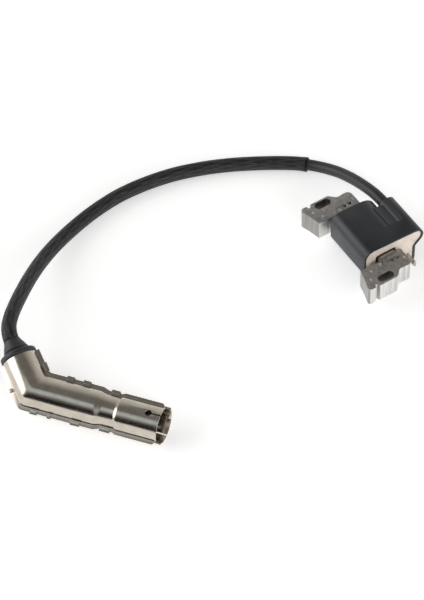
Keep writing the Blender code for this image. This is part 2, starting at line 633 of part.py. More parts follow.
# ---- the cap's shield: two pressed half shells with folded seams ----
def elbow_rings(stations, profile_at):
    """Carries a profile of (across, up) points down the neck, round the mitre and along the barrel.
    A station is (tube, distance, key): tube is neck or barrel, and key goes to profile_at."""
    neck_across = Vector((sin(radians(CAP_BEND)), cos(radians(CAP_BEND)), 0.0))
    mitre = tan(radians(CAP_BEND) / 2)
    rows = []
    for tube, distance, key in stations:
        row = []
        for across, up in profile_at(key):
            if tube == "neck":
                row.append(neck_axis * distance + neck_across * across + Vector((0, 0, up)))
            elif tube == "mitre":
                row.append(Vector((across * mitre, across, up)))
            else:
                row.append(Vector((distance, across, up)))
        rows.append(row)
    return rows


def sheet_from_rows(name, rows, closed, look=None, parent=None):
    """A surface through rows of points, each row joined to the next."""
    bm = bmesh.new()
    verts = [[bm.verts.new(p * MM) for p in row] for row in rows]
    count = len(rows[0])
    for a, b in zip(verts, verts[1:]):
        for k in range(count if closed else count - 1):
            n = (k + 1) % count
            bm.faces.new((a[k], a[n], b[n], b[k]))
    if closed:
        bm.faces.new(verts[0])
        bm.faces.new(reversed(verts[-1]))
    bmesh.ops.recalc_face_normals(bm, faces=bm.faces)
    return place(from_bmesh(name, bm), look, parent)


def half_shell(name, side, length, tabs):
    """side is 1 for the upper half and -1 for the lower. The arc and both seam lips are one sheet."""
    centre = SHEET / 2
    level = side * (SEAM_GAP + centre)

    def profile(key):
        radius, lip = key
        radius -= centre
        start = degrees(atan2(SEAM_GAP + centre, radius))
        curve = arc((0, 0), radius, start, 180 - start, 16)
        points = [(radius + lip, level)] + [(x, side * z) for x, z in curve] + [(-radius - lip, level)]
        return points

    lip = SEAM_LIP
    stations = [("neck", NECK_LENGTH, (SHELL_R, lip - 0.6)), ("neck", NECK_LENGTH - 1.0, (SHELL_R, lip)),
                ("mitre", 0.0, (SHELL_R, lip))]
    for distance, radius in BARREL_STEPS:
        stations.append(("barrel", distance, (radius, lip)))
    stations.append(("barrel", BARREL_LENGTH - 0.6, (LIP_R - 0.1, 0.4)))
    stations.append(("barrel", length, (LIP_R, 0.3)))
    rows = elbow_rings(stations, profile)
    shell = sheet_from_rows(name, rows, False, nickel, cap)
    wall = shell.modifiers.new("sheet", "SOLIDIFY")
    wall.thickness = SHEET * MM
    wall.offset = 0.0
    wall.use_even_offset = True
    out = Vector((0, sin(radians(RELIEF_TURN)), cos(radians(RELIEF_TURN)))) * side
    cut(shell, rod("relief_hole_of_" + name, (RELIEF_X, *(out * (END_R - 2.0)).yz), (RELIEF_X, *(out * (END_R + 2.0)).yz),
                   RELIEF_R, None, cap, 24))
    low, high = sorted((side * (END_R - 2.5), side * (LIP_R + 2.0)))
    slit = box("relief_slit_of_" + name, (RELIEF_X, -RELIEF_SLIT / 2, low), (length + OVERCUT, RELIEF_SLIT / 2, high), None, cap)
    slit.matrix_local = Matrix.Rotation(-radians(RELIEF_TURN), 4, "X") @ slit.matrix_local
    cut(shell, slit)
    for i, tab in enumerate(tabs):
        join(shell, seam_tab(f"tab_{i}_of_{name}", *tab))
    return shell


def seam_tab(name, tube, start, end, radius, edge):
    """A tongue of the lower half's lip folded up round the upper one: edge is 1 inside the bend, or -1."""
    turn = Matrix.Identity(4)
    if tube == "neck":
        turn = Matrix.Rotation(pi - radians(CAP_BEND), 4, "Z")
        edge = -edge
    outer = radius + SEAM_LIP
    fold = outer + GAP
    low, high = -SEAM_GAP - SHEET + 0.05, SEAM_GAP + SHEET + GAP
    outline = [(outer - 0.5, low), (fold + SHEET - 0.2, low), (fold + SHEET, low + 0.2),
               (fold + SHEET, high + SHEET - 0.2), (fold + SHEET - 0.2, high + SHEET),
               (outer - TAB_FOLD, high + SHEET), (outer - TAB_FOLD, high), (fold, high),
               (fold, -SEAM_GAP - 0.05), (outer - 0.5, -SEAM_GAP - 0.05)]
    tab = plate(name, [(edge * y, z) for y, z in outline], start, end, None, cap, "X")
    tab.matrix_local = turn
    return tab


half_shell("shield_upper", 1, BARREL_LENGTH, [])
half_shell("shield_lower", -1, BARREL_LENGTH + LOWER_EXTRA, SEAM_TABS)


# ---- inside the cap ----
def circle_profile(radius):
    return arc((0, 0), radius, 0, 350, 35)


body_rows = elbow_rings(
    [("neck", NECK_END, INSULATOR_R), ("mitre", 0.0, INSULATOR_R), ("barrel", NOSE_START - 4.0, INSULATOR_R),
     ("barrel", NOSE_START, NOSE_R), ("barrel", NOSE_END, NOSE_R)], circle_profile)
elbow_body = sheet_from_rows("cap_insulator", body_rows, True, insulator, cap)
cut(elbow_body,
    rod("lead_socket", neck_axis * (LEAD_TIP - 2 * GAP), neck_axis * (NECK_END + OVERCUT), LEAD_BORE_R, None, cap, 40),
    rod("neck_bore", neck_axis * -1.0, neck_axis * LEAD_TIP, BORE_R, None, cap, 32),
    rod("barrel_bore", (-1.0, 0, 0), (SOCKET_START + 1.0, 0, 0), BORE_R, None, cap, 32),
    rod("plug_socket", (SOCKET_START, 0, 0), (NOSE_END + OVERCUT, 0, 0), SOCKET_R, None, cap, 40))

seal_bore_r = LEAD_BORE_R + GAP / 2
mouth_r = seal_bore_r + SEAL_MOUTH_WALL
seal_profile = [
    (SEAL_START, 0.0), (SEAL_START, INSULATOR_R), (NECK_LENGTH + GAP, INSULATOR_R), (NECK_LENGTH + GAP, SEAL_RIM_R - 0.3),
    (NECK_LENGTH + GAP + 0.3, SEAL_RIM_R), (23.5, SEAL_RIM_R), (24.1, SEAL_RIM_R - 0.6), (24.2, 7.2), (25.9, 7.1),
    (27.5, 6.9), (29.1, 6.4), (30.5, mouth_r + 0.9), (31.7, mouth_r + 0.25), (SEAL_LENGTH, mouth_r), (SEAL_LENGTH, 0.0)]
seal = turned("rubber_seal", seal_profile, seal_rubber, cap, direction=neck_axis)
cut(seal, rod("seal_bore", neck_axis * (SEAL_START - OVERCUT), neck_axis * (SEAL_LENGTH + OVERCUT), seal_bore_r,
              None, cap, 40))

screw_tip = LEAD_TIP - GAP
turned("lead_screw", [(4.4, 0.0), (4.4, SCREW_HEAD_R), (5.6, SCREW_HEAD_R), (5.9, SCREW_R), (screw_tip - 2.5, SCREW_R),
                      (screw_tip, 0.3), (screw_tip, 0.0)], brass, cap, direction=neck_axis, steps=24)
resistor_end = RESISTOR_START + RESISTOR_LENGTH
turned("suppressor_resistor",
       [(RESISTOR_START, 0.0), (RESISTOR_START, RESISTOR_R), (RESISTOR_START + 3.0, RESISTOR_R),
        (RESISTOR_START + 3.2, RESISTOR_R - 0.3), (resistor_end - 3.2, RESISTOR_R - 0.3),
        (resistor_end - 3.0, RESISTOR_R), (resistor_end, RESISTOR_R), (resistor_end, 0.0)],
       ceramic, cap, direction=(1, 0, 0), steps=28)

spring_start = resistor_end + GAP + SPRING_WIRE / 2
turns = SPRING_TURNS * 12
spring_points = []
for step in range(turns + 1):
    angle = 2 * pi * step / 12
    x = spring_start + (SPRING_LENGTH - SPRING_WIRE) * step / turns
    spring_points.append((x, SPRING_R * cos(angle), SPRING_R * sin(angle)))
wire("contact_spring", spring_points, SPRING_WIRE / 2, spring_steel, cap, 1)

clip_start = spring_start + SPRING_LENGTH
clip_mouth = SOCKET_START + 0.6
clip = turned("plug_clip",
              [(clip_start, 0.0), (clip_start, RESISTOR_R), (clip_mouth, RESISTOR_R), (clip_mouth, CLIP_R),
               (clip_mouth + CLIP_LENGTH - 1.5, CLIP_R), (clip_mouth + CLIP_LENGTH, CLIP_R + 0.5),
               (clip_mouth + CLIP_LENGTH, 0.0)], brass, cap, direction=(1, 0, 0), steps=32)
cut(clip, rod("clip_bore", (clip_mouth + CLIP_WALL, 0, 0), (clip_mouth + CLIP_LENGTH + OVERCUT, 0, 0),
              CLIP_R - CLIP_WALL, None, cap, 32))
cut(clip, box("clip_slot", (clip_mouth + 2.0, -0.5, -CLIP_R - 1), (clip_mouth + CLIP_LENGTH + OVERCUT, 0.5, CLIP_R + 1),
              None, cap))
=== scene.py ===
# %% [markdown]
# # An ignition coil with its lead and plug cap
# The coil of a small engine is cast in resin on a U of steel laminations. A sleeved lead leaves it and
# ends in an elbow cap, which pushes onto the spark plug. The imported CAD model gives every place and
# size in this lesson. It is loaded first. The finished pieces have to stay inside it.

# %% Load the imported model
from math import cos, pi, radians, sin, sqrt

import bmesh
import bpy
from mathutils import Euler, Matrix, Vector


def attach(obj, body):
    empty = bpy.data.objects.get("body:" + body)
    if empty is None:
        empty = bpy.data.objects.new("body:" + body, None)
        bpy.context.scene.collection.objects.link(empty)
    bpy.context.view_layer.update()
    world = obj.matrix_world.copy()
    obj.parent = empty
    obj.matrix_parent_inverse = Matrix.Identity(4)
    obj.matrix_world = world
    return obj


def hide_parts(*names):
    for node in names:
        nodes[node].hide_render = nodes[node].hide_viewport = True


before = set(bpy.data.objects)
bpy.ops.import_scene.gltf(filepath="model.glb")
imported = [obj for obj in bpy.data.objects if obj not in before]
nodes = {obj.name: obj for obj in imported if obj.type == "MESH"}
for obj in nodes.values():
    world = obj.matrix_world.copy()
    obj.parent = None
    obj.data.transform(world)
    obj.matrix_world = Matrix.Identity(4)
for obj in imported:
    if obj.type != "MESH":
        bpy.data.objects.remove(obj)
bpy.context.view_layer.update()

MM = 0.001
bpy.ops.object.select_all(action="DESELECT")

# %% [markdown]
# ## The camera
# A long lens keeps the two ends of the lead nearly the same size, as a product picture does. The
# camera is placed by how far round and how far up it looks from, then moved back along its own axis.
# Euler angles could give the same turn, but three small turns are easier to read.

# %% Set up the camera
AZIMUTH, ELEVATION, ROLL = radians(59.79), radians(52.04), radians(-2.6)
CORE_TOP = Vector((0.0, -21.4, 21.8))   # the point that the camera's place is measured from, in mm
CAMERA_OFFSET = Vector((-75.09, -31.1, 1470.6))
LENS = 150.0

turn = (Matrix.Rotation(AZIMUTH, 3, "Z") @ Matrix.Rotation(pi / 2 - ELEVATION, 3, "X")
        @ Matrix.Rotation(ROLL, 3, "Z"))
bpy.ops.object.camera_add()
camera = bpy.context.object
camera.matrix_world = Matrix.Translation((CORE_TOP + turn @ CAMERA_OFFSET) * MM) @ turn.to_4x4()
camera.data.sensor_width = 36.0
camera.data.lens = LENS
camera.data.clip_end = 10.0
bpy.context.scene.camera = camera
print("camera at", [round(v, 3) for v in camera.location])

# %% [markdown]
# ## Colours and nodes
# Colours are written as sRGB hex, the way a paint chart gives them, and one function makes them
# linear for the shader. One more function adds a node, sets it and links it, so that a material below
# reads as a list of what it is made of.

# %% Colour and node helpers
def colour(code):
    """A linear colour from an sRGB hex code."""
    channels = [int(code[i:i + 2], 16) / 255 for i in (1, 3, 5)]
    linear = [c / 12.92 if c <= 0.04045 else ((c + 0.055) / 1.055) ** 2.4 for c in channels]
    return (*linear, 1.0)


def plug(tree, node, inputs):
    """Sets a node's inputs. One that is given a socket is linked to it."""
    for key, value in inputs.items():
        if isinstance(value, bpy.types.NodeSocket):
            tree.links.new(value, node.inputs[key])
        else:
            node.inputs[key].default_value = value


def add(tree, kind, inputs, stops=(), **settings):
    """Adds a node and gives back its first output in use. stops are (position, hex code) on a colour ramp."""
    made = tree.nodes.new("ShaderNode" + kind)
    for name, value in settings.items():
        setattr(made, name, value)
    plug(tree, made, inputs)
    for i, (position, code) in enumerate(stops):
        element = made.color_ramp.elements[i] if i < 2 else made.color_ramp.elements.new(position)
        element.position, element.color = position, colour(code)
    return next(output for output in made.outputs if output.enabled)


def start(name, base, roughness, metallic=0.0):
    """A new material, as (material, tree, shader, Object coordinates)."""
    made = bpy.data.materials.new(name)
    made.use_nodes = True
    tree = made.node_tree
    shader = tree.nodes["Principled BSDF"]
    plug(tree, shader, {"Base Color": colour(base), "Roughness": roughness, "Metallic": metallic})
    return made, tree, shader, tree.nodes.new("ShaderNodeTexCoord").outputs["Object"]


print("hex #808080 is", round(colour("#808080")[0], 3), "linear")

# %% [markdown]
# ## Floor and light
# A piece that is half black plastic and half bright nickel is lit for its nickel, which shows whatever
# is round it. The floor is a light table of opal sheet, so it stays pale and its shadows stay faint.
# The sky is a plain studio: bright low down, dim overhead, with one big softbox on the coil's left
# and a dark doorway low behind the camera. The softbox draws the white stripe on the cap's neck and
# the soft gleam on the case. The doorway draws the dark band along the barrel, and the floor under it
# gives that band its sharp lower edge.

# %% Floor
bpy.ops.mesh.primitive_plane_add(size=6.0, location=(0, 0, 0))
floor = bpy.context.object
floor.name = "floor"
opal, tree, shader, _ = start("lit opal table", "#EDEDED", 0.9)
plug(tree, shader, {"Emission Color": colour("#FFFFFF"), "Emission Strength": 0.5, "Specular IOR Level": 0.0})
floor.data.materials.append(opal)

# %% Sky with its softbox and its doorway
def towards(azimuth, elevation):
    a, e = radians(azimuth), radians(elevation)
    return Vector((cos(e) * cos(a), cos(e) * sin(a), sin(e)))


# each patch as (azimuth, elevation, radius inside, radius of its soft edge, linear colour)
PATCHES = [
    (-67, 6, 15, 46, (0.012, 0.012, 0.013, 1)),     # the doorway
    (-80, 57, 3, 17, (0.62, 0.72, 0.78, 1)),        # a cool lamp high behind the camera
    (-126, 22, 23, 33, (2.6, 2.6, 2.6, 1))]         # the softbox
world = bpy.data.worlds.new("studio")
bpy.context.scene.world = world
world.use_nodes = True
tree = world.node_tree
direction = tree.nodes.new("ShaderNodeTexCoord").outputs["Generated"]
height = tree.nodes.new("ShaderNodeSeparateXYZ")
plug(tree, height, {"Vector": direction})
sky = add(tree, "ValToRGB", {"Fac": height.outputs["Z"]},
          [(0.0, "#E8E8E8"), (0.5, "#CDCCCA"), (0.7, "#B4B1AD"), (0.92, "#7B7A78")])
for azimuth, elevation, inside, edge, light in PATCHES:
    facing = add(tree, "VectorMath", {0: direction, 1: towards(azimuth, elevation)}, operation="DOT_PRODUCT")
    near = add(tree, "MapRange", {"Value": facing, "From Min": cos(radians(edge)), "From Max": cos(radians(inside))},
               interpolation_type="SMOOTHSTEP")
    sky = add(tree, "MixRGB", {"Fac": near, "Color1": sky, "Color2": light})
plug(tree, tree.nodes["Background"], {"Color": sky})

# %% A soft key lamp for the coil
bpy.ops.object.light_add(type="AREA", location=(0.9, -0.1, 0.45))
key = bpy.context.object
key.name = "key"
key.rotation_euler = (key.location - Vector((0.02, 0, 0))).to_track_quat("Z", "Y").to_euler()
key.data.size = 0.5
key.data.energy = 2.0
view = bpy.context.scene.view_settings
view.view_transform = "Standard"
view.look = "None"
print("sky with", len(PATCHES), "patches; key lamp of", key.data.energy, "W")

# %% [markdown]
# ## The lead's route
# The lead is a stiff 7 mm cable. It leaves the coil's tower straight, dips to the table and follows
# it in one open curve, then climbs to the cap's short neck. Its points are the CAD lead's own. The
# smooth curve through them uses knots spaced by the square root of distance, which never loops or
# overshoots where points crowd together.

# %% Route of the lead
CAP_ELBOW = Vector((-16.5, -220.4, 10.2))
CAP_HEADING, CAP_TILT, CAP_BEND = radians(38.6), radians(28.0), radians(49.0)
LEAD_R = 3.5
TOWER_MOUTH = Vector((-10.6, 18.8, 23.5))
LEAD_ROUTE = [
    (8, 18.8, 23.5), (-3, 18.8, 23.5), (-12, 18.8, 23.5), (-20, 18.7, 23), (-28, 18.3, 21.5), (-37, 17.8, 18.8),
    (-46, 17, 15.6), (-55, 15.6, 12.2), (-63, 13.2, 9.2), (-70, 10, 6.9), (-76, 6, 5.5), (-81.5, 0.5, 4.9),
    (-87.5, -7.5, 4.6), (-95, -19.5, 4.6), (-103, -34, 4.6), (-110, -50, 4.6), (-115.5, -67.5, 4.6),
    (-118.5, -86, 4.6), (-119, -104, 4.6), (-116.5, -122.5, 4.6), (-111.2, -140.7, 5.5), (-103.6, -157.5, 8),
    (-94.1, -172.1, 12.1), (-83.5, -185.2, 16.6), (-74.1, -195.5, 20.2), (-66.4, -203.5, 22.7), (-59.9, -209.8, 24),
    (-54.2, -214.2, 23.9)]
LEAD_IN_CAP = (34.0, 25.0, 16.0)   # distances along the neck's axis from the elbow
SLEEVE_END = 32.9                  # the same, to where the sleeve stops at the seal

cap_place = Matrix.Translation(CAP_ELBOW * MM) @ Euler((CAP_TILT, 0, CAP_HEADING)).to_matrix().to_4x4()
neck_axis = Vector((-cos(CAP_BEND), sin(CAP_BEND), 0))


def in_cap(point):
    """A place given in the cap's own frame, in mm, as world mm."""
    return cap_place @ (Vector(point) * MM) / MM


def smooth_route(points, step):
    """Points spaced by step along one smooth curve through the given ones."""
    knots = [Vector(p) for p in points]
    knots = [2 * knots[0] - knots[1], *knots, 2 * knots[-1] - knots[-2]]
    fine = []
    for a, b, c, d in zip(knots, knots[1:], knots[2:], knots[3:]):
        t1 = sqrt((b - a).length)
        t2 = t1 + sqrt((c - b).length)
        t3 = t2 + sqrt((d - c).length)
        for i in range(40):
            t = t1 + (t2 - t1) * i / 40
            ab, bc, cd = a.lerp(b, t / t1), b.lerp(c, (t - t1) / (t2 - t1)), c.lerp(d, (t - t2) / (t3 - t2))
            fine.append(ab.lerp(bc, t / t2).lerp(bc.lerp(cd, (t - t1) / (t3 - t1)), (t - t1) / (t2 - t1)))
    fine.append(knots[-2])
    spaced, carried = [fine[0]], 0.0
    for a, b in zip(fine, fine[1:]):
        length = (b - a).length
        while carried + length >= step:
            a = a.lerp(b, (step - carried) / length)
            length = (b - a).length
            spaced.append(a)
            carried = 0.0
        carried += length
    return spaced


lead_line = smooth_route([*LEAD_ROUTE, *(in_cap(neck_axis * t) for t in LEAD_IN_CAP)], 1.0)
lead_length = sum((b - a).length for a, b in zip(lead_line, lead_line[1:]))
print("lead:", round(lead_length), "mm through", len(lead_line), "points")

# %% [markdown]
# ## The lead
# A round cable is a curve with a bevel: the curve stays one line that can be measured, and the bevel
# gives it its round wall. Ignition lead is EPDM rubber. It is extruded, so its skin is satin with faint
# lines along it, and it picks up pale dust.

# %% EPDM lead material
def rubber(name, base, roughness, mottle):
    """Moulded or extruded black rubber: satin, a little uneven, with a pale bloom in patches."""
    made, tree, shader, coords = start(name, base, roughness)
    skin = add(tree, "TexNoise", {"Vector": coords, "Scale": 900.0, "Detail": 3.0})
    patches = add(tree, "TexNoise", {"Vector": coords, "Scale": 60.0, "Detail": 4.0})
    tone = add(tree, "ValToRGB", {"Fac": patches}, [(0.35, base), (0.75, mottle)])
    rough = add(tree, "MapRange", {"Value": patches, "To Min": roughness - 0.06, "To Max": roughness + 0.12})
    plug(tree, shader, {"Base Color": tone, "Roughness": rough,
                        "Normal": add(tree, "Bump", {"Height": skin, "Distance": 0.00003})})
    return made


lead_rubber = rubber("extruded EPDM lead", "#141416", 0.42, "#212123")

# %% Lay the lead
def centreline(name, points, radius, sides):
    """A curve of one open spline through points in mm, with a round bevel."""
    curve = bpy.data.curves.new(name, "CURVE")
    curve.dimensions = "3D"
    curve.bevel_depth = radius * MM
    curve.bevel_resolution = sides
    curve.use_fill_caps = True
    spline = curve.splines.new("POLY")
    spline.points.add(len(points) - 1)
    for target, point in zip(spline.points, points):
        target.co = (*(point * MM), 1.0)
    made = bpy.data.objects.new(name, curve)
    bpy.context.scene.collection.objects.link(made)
    return made


lead = centreline("lead", lead_line[::2] + lead_line[-1:], LEAD_R, 6)
lead.data.materials.append(lead_rubber)
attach(lead, "coil_module")
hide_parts("lead_cable")
print("lead laid with", len(lead.data.splines[0].points), "points")

# %% [markdown]
# ## The braided sleeve
# Most of the lead runs in a woven glass sleeve that is soaked in black varnish. Its yarns cross at a slant
# and lie nearly lengthwise. The weave is painted lighter in fine lines on the yarn crowns, a painted
# highlight, and darker in the gaps between them, a painted shade. The sleeve is a tube of rings, so that
# each face knows how far along and how far round it is. Those two numbers go into a UV map, and the weave
# is drawn on that. Its ends are cut cleanly and stand a little open.

# %% Sleeve tube with its weave map
SLEEVE_START = 70.3    # from the tower's mouth along the lead
SLEEVE_IN_R, SLEEVE_WALL = 3.8, 0.55
SLEEVE_SIDES = 36
YARN = 1.3             # spacing of the braid's ridges, drawn coarser than the real 0.8 mm so that they show

sleeve_from = round(LEAD_ROUTE[0][0] - TOWER_MOUTH.x + SLEEVE_START)
sleeve_to = min(range(len(lead_line)), key=lambda i: (lead_line[i] - in_cap(neck_axis * SLEEVE_END)).length)
sleeve_line = lead_line[sleeve_from:sleeve_to + 1]


def sleeve_radius(i):
    """The braid swells where it was cut: a little at the start, more where it meets the seal."""
    to_start, to_end = i, len(sleeve_line) - 1 - i
    return SLEEVE_IN_R + SLEEVE_WALL + 0.25 * max(0, 1 - to_start / 5) + 0.3 * max(0, 1 - to_end / 12)


def ring_frames(line):
    """For each point of a line, the directions across and over it."""
    frames = []
    for i, point in enumerate(line):
        ahead = (line[min(i + 1, len(line) - 1)] - line[max(i - 1, 0)]).normalized()
        if i == len(line) - 1:
            ahead = -(cap_place.to_3x3() @ neck_axis).normalized()
        across = ahead.cross(Vector((0, 0, 1))).normalized()
        frames.append((point, across, across.cross(ahead)))
    return frames


def woven_tube(name, line, radius_at, wall):
    mesh = bmesh.new()
    uv = mesh.loops.layers.uv.new("weave")
    rings = []
    for i, (point, across, over) in enumerate(ring_frames(line)):
        row = []
        for k in range(SLEEVE_SIDES):
            t = 2 * pi * k / SLEEVE_SIDES
            row.append(mesh.verts.new((point + (across * cos(t) + over * sin(t)) * radius_at(i)) * MM))
        rings.append(row)
    for i, (here, ahead) in enumerate(zip(rings, rings[1:])):
        for k in range(SLEEVE_SIDES):
            n = (k + 1) % SLEEVE_SIDES
            face = mesh.faces.new((here[k], here[n], ahead[n], ahead[k]))
            face.smooth = True
            for loop, (u, v) in zip(face.loops, ((k, i), (k + 1, i), (k + 1, i + 1), (k, i + 1))):
                loop[uv].uv = (u / SLEEVE_SIDES, v)
    data = bpy.data.meshes.new(name)
    bmesh.ops.recalc_face_normals(mesh, faces=mesh.faces)
    mesh.to_mesh(data)
    mesh.free()
    made = bpy.data.objects.new(name, data)
    bpy.context.scene.collection.objects.link(made)
    solid = made.modifiers.new("wall", "SOLIDIFY")
    solid.thickness = wall * MM
    solid.offset = -1.0
    solid.use_even_offset = True
    return made


sleeve = woven_tube("sleeve", sleeve_line, sleeve_radius, SLEEVE_WALL)
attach(sleeve, "coil_module")
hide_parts("braided_sleeve")
print("sleeve covers", len(sleeve_line) - 1, "mm of the lead")

# %% Varnished glass braid material
def slanted(tree, slant):
    """One set of yarns: a rounded ridge, 0 to 1, that winds round the tube."""
    phase = add(tree, "Math", {0: around, 1: along}, operation=slant)
    wave = add(tree, "Math", {0: phase, 1: 1.0}, operation="PINGPONG")
    return add(tree, "Math", {0: wave, 1: 1.5}, operation="POWER")


braid, tree, shader, _ = start("varnished glass braid", "#1A1B1C", 0.55)
YARNS_ROUND = round(2 * pi * (SLEEVE_IN_R + SLEEVE_WALL) / YARN)
STEEPNESS = 0.1      # ridges crossed per mm along the lead: the yarns lie nearly lengthwise
place = tree.nodes.new("ShaderNodeSeparateXYZ")
plug(tree, place, {"Vector": tree.nodes.new("ShaderNodeTexCoord").outputs["UV"]})
around = add(tree, "Math", {0: place.outputs["X"], 1: float(YARNS_ROUND)}, operation="MULTIPLY")
along = add(tree, "Math", {0: place.outputs["Y"], 1: STEEPNESS}, operation="MULTIPLY")
weave = add(tree, "Math", {0: slanted(tree, "ADD"), 1: slanted(tree, "SUBTRACT")}, operation="MAXIMUM")
widened = add(tree, "Math", {0: around, 1: 1.7}, operation="MULTIPLY")
stretched = add(tree, "CombineXYZ", {"X": widened, "Y": along})
fibres = add(tree, "TexNoise", {"Vector": stretched, "Scale": 1.3, "Detail": 4.0, "Roughness": 0.65})
shade = add(tree, "Math", {0: weave, 1: fibres}, operation="MULTIPLY")
# The base colour is painted darker in the weave's gaps and lighter on its crowns: painted shade and painted highlight.
plug(tree, shader, {
    "Base Color": add(tree, "ValToRGB", {"Fac": shade}, [(0.12, "#0E0F10"), (0.4, "#202122"), (0.62, "#4A4B4A")]),
    "Roughness": add(tree, "MapRange", {"Value": fibres, "From Min": 0.35, "From Max": 0.7,
                                        "To Min": 0.62, "To Max": 0.4}),
    "Normal": add(tree, "Bump", {"Height": shade, "Distance": 0.00035})})
sleeve.data.materials.append(braid)
print(YARNS_ROUND, "ridges round the sleeve")

# %% [markdown]
# ## Modelling helpers
# Round and pressed pieces grow from one ring: a circle is added, then extruded along the X axis and
# resized, step by step. Operators act on everything selected, so each helper first clears the
# selection, and faces are picked in code by where they are.

# %% Helpers for edit mode
def clear_selection():
    if bpy.context.object and bpy.context.object.mode != "OBJECT":
        bpy.ops.object.mode_set(mode="OBJECT")
    bpy.ops.object.select_all(action="DESELECT")


def edit(piece):
    clear_selection()
    piece.select_set(True)
    bpy.context.view_layer.objects.active = piece
    bpy.ops.object.mode_set(mode="EDIT")
    bpy.ops.mesh.select_mode(type="VERT")


def pick(test):
    """In edit mode, selects the vertices whose place in mm passes the test."""
    bpy.ops.mesh.select_all(action="DESELECT")
    data = bpy.context.object.data
    mesh = bmesh.from_edit_mesh(data)
    for vert in mesh.verts:
        vert.select_set(test(vert.co / MM))
    mesh.select_flush(True)
    bmesh.update_edit_mesh(data)
    return sum(vert.select for vert in mesh.verts)


def extrude(x=0.0, y=0.0, z=0.0):
    bpy.ops.mesh.extrude_region_move(TRANSFORM_OT_translate={"value": (x * MM, y * MM, z * MM)})


def modify(piece, kind, **settings):
    """Adds a modifier and applies it."""
    clear_selection()
    piece.select_set(True)
    bpy.context.view_layer.objects.active = piece
    step = piece.modifiers.new(kind.lower(), kind)
    for name, value in settings.items():
        setattr(step, name, value)
    bpy.ops.object.modifier_apply(modifier=step.name)


def smooth(piece, angle=35.0):
    clear_selection()
    piece.select_set(True)
    bpy.context.view_layer.objects.active = piece
    bpy.ops.object.shade_smooth_by_angle(angle=radians(angle))


def move_to(piece, matrix):
    """Places a piece that was made at the origin and puts that place into its mesh."""
    clear_selection()
    piece.select_set(True)
    bpy.context.view_layer.objects.active = piece
    piece.matrix_world = matrix
    bpy.ops.object.transform_apply(location=True, rotation=True, scale=True)


def merge(*pieces):
    """Joins pieces into the first one."""
    clear_selection()
    for piece in pieces:
        piece.select_set(True)
    bpy.context.view_layer.objects.active = pieces[0]
    bpy.ops.object.join()
    return pieces[0]


def ring(x, radius, sides=72):
    """A circle round the X axis, left in edit mode with all of it selected."""
    clear_selection()
    bpy.ops.mesh.primitive_circle_add(vertices=sides, radius=radius * MM, rotation=(0, pi / 2, 0),
                                      location=(x * MM, 0, 0))
    bpy.ops.object.transform_apply(location=True, rotation=True, scale=True)
    bpy.ops.object.mode_set(mode="EDIT")
    bpy.ops.mesh.select_mode(type="VERT")
    bpy.ops.mesh.select_all(action="SELECT")
    return bpy.context.object


def draw_out(profile):
    """Extrudes the selected ring through (x, radius) steps; the first one says where it is now."""
    for (x, radius), (next_x, next_radius) in zip(profile, profile[1:]):
        extrude(next_x - x)
        k = next_radius / radius
        if k != 1.0:
            bpy.ops.transform.resize(value=(1, k, k), center_override=(next_x * MM, 0, 0))


def keep(piece, name, body, slot, look, *replaced):
    """Names a finished piece, gives it its material, hangs it under its body's empty and hides what it replaces."""
    piece.name = name
    piece.data.name = name
    piece.data.materials.clear()
    piece.data.materials.append(look)
    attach(piece, body)
    if replaced:
        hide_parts(*replaced)
    print(name, len(piece.data.polygons), "faces")
    return piece


print("helpers ready")

# %% [markdown]
# ## Nickel-plated steel
# The cap's shield is pressed from thin steel and nickel plated. Nickel is warmer than chrome, and the
# plate follows the rolled steel under it, so its reflections are soft along the barrel and waver a
# little where the press stretched the sheet.

# %% Nickel material
nickel, tree, shader, coords = start("nickel plate on pressed steel", "#C8BFB3", 0.16, 1.0)
turned = add(tree, "Mapping", {"Vector": coords, "Rotation": (0, 0, -CAP_HEADING)})
grain = add(tree, "Mapping", {"Vector": turned, "Scale": (60.0, 1800.0, 1800.0)})
brushed = add(tree, "TexNoise", {"Vector": grain, "Scale": 1.0, "Detail": 3.0})
waver = add(tree, "TexNoise", {"Vector": coords, "Scale": 70.0, "Detail": 1.0})
smudge = add(tree, "TexNoise", {"Vector": coords, "Scale": 180.0, "Detail": 5.0})
stretch_marks = add(tree, "Bump", {"Height": waver, "Distance": 0.0005, "Strength": 0.3})
plug(tree, shader, {
    "Base Color": add(tree, "ValToRGB", {"Fac": smudge}, [(0.3, "#BFB6A9"), (0.7, "#CEC6BB")]),
    "Roughness": add(tree, "MapRange", {"Value": brushed, "From Min": 0.3, "From Max": 0.7,
                                        "To Min": 0.12, "To Max": 0.24}),
    "Normal": add(tree, "Bump", {"Height": brushed, "Distance": 0.00001, "Strength": 0.4, "Normal": stretch_marks})})
print("nickel ready")

# %% [markdown]
# ## The shield's half shells
# Each half of the shield is one pressing: a half pipe with a narrow seam lip on both sides, bent at
# the elbow. Its section is drawn once, half a circle and two lips, and extruded along the barrel. The
# neck is the same section extruded the other way and turned. Both are cut on the mitre plane between
# them, where they meet point for point, so they can be merged and the crease softened.

# %% Press one half shell
SHELL_R, WAIST, END, LIP = 10.2, 9.2 / 10.2, 9.9 / 10.2, 1.0
SHEET, SEAM_GAP, SEAM_LIP = 0.45, 0.15, 2.5
NECK_LENGTH, BARREL_LENGTH, LOWER_EXTRA = 20.8, 77.5, 2.5
RELIEF_X, RELIEF_R, RELIEF_SLIT = 70.2, 1.9, 0.9
CUTTER_DEPTH, CUTTER_HEIGHT = 5.0, 10.0   # deep enough to pass through one wall only
RELIEF_TURN = radians(24)   # the hole and slit stand this far round from the crown
MID_R = SHELL_R - SHEET / 2
# the barrel as (x, share of the full radius), with softly rounded steps into and out of the waist
BARREL = [(-14, 1), (38.7, 1), (39.4, 0.995), (40.2, 0.975), (41.8, 0.929), (42.6, 0.908), (43.4, WAIST),
          (50.4, WAIST),
          (51.0, 0.908), (51.7, 0.935), (52.4, 0.962), (53.1, END), (75.1, END), (76.3, 0.978)]
mitre_normal = (cos(CAP_BEND / 2), -sin(CAP_BEND / 2), 0)


